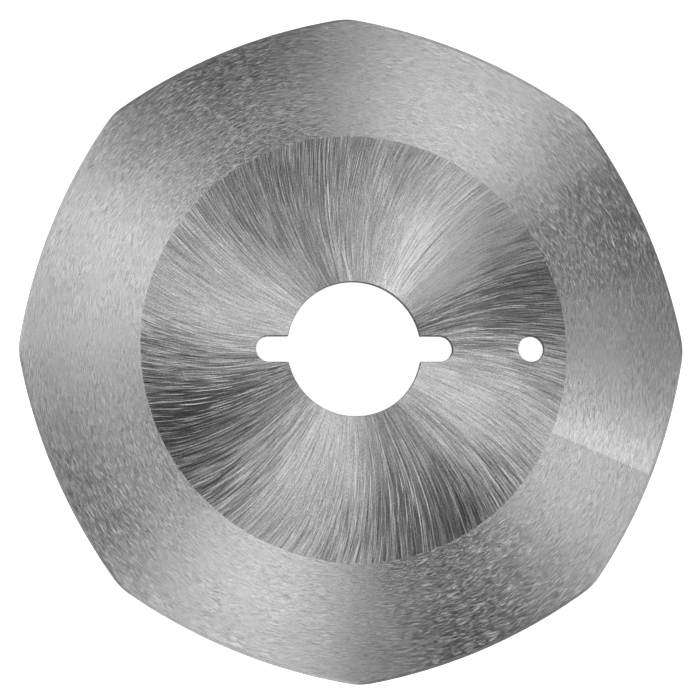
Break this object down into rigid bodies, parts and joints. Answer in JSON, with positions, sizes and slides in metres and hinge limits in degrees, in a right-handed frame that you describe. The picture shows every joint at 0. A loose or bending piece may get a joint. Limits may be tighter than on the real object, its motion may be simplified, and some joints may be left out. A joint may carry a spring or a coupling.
{
  "type": "circular knife",
  "caption": "Lobed circular knife blade of thin steel, ground to a wide bevel on one side, with a slotted arbor bore and an off-centre pin hole.",
  "frame": {"origin": "centre of the arbor bore on the flat back face", "axes": "+Z out of the ground front face along the bore, +X from the bore towards the pin hole"},
  "size_m": [0.09, 0.09, 0.001],
  "materials": {
    "steel": "flat middle brushed from the bore outwards, bevel ground round the axis"
  },
  "bodies": {
    "root": {"blade": "steel"}
  },
  "joints": []
}
